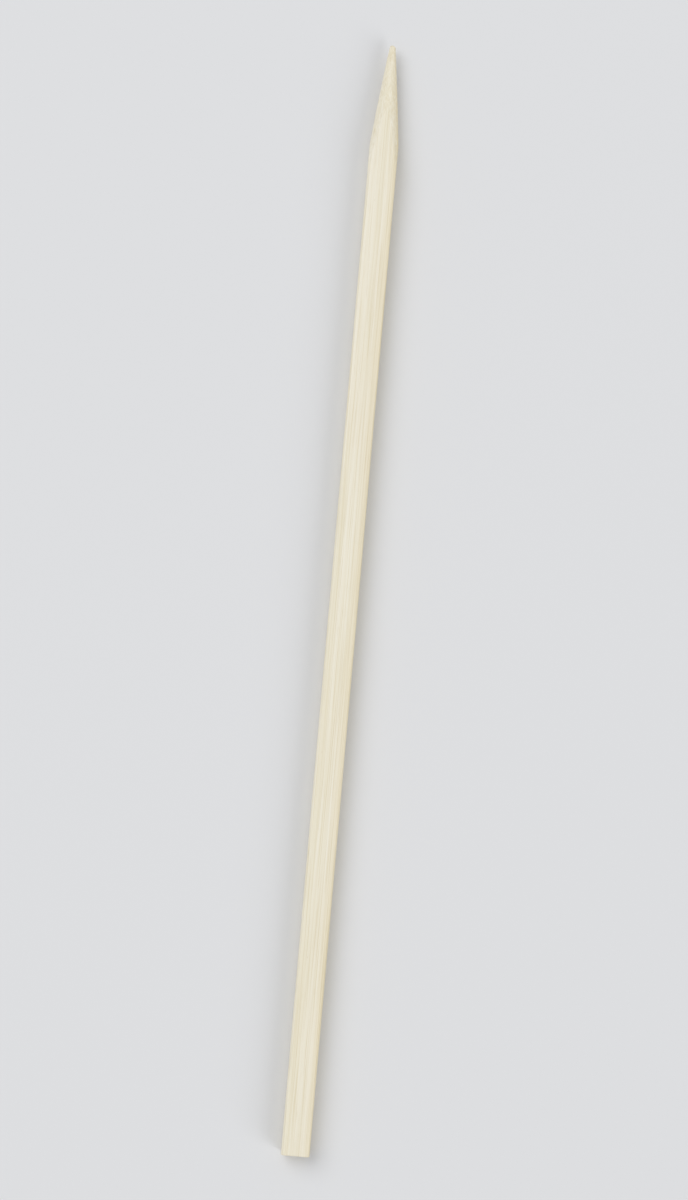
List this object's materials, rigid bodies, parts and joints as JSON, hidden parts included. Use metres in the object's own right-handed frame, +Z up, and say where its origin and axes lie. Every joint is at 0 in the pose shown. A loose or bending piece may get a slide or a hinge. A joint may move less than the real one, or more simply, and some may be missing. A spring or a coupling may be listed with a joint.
{
  "type": "wooden skewer",
  "caption": "Flat pale bamboo skewer: a planed rectangular stick with eased edges, sawn square at the butt and ground to a blunt tapered point.",
  "frame": {"origin": "centre of the underside of the box around the skewer, which lies on its broad face", "axes": "+Y along the skewer towards its point, +Z up through its thickness, +X across its broad face"},
  "size_m": [0.0038, 0.15, 0.003],
  "materials": {
    "bamboo": "bare planed bamboo, matt, with fine straight lengthwise fibre lines"
  },
  "bodies": {
    "root": {"skewer": "bamboo"}
  },
  "joints": []
}
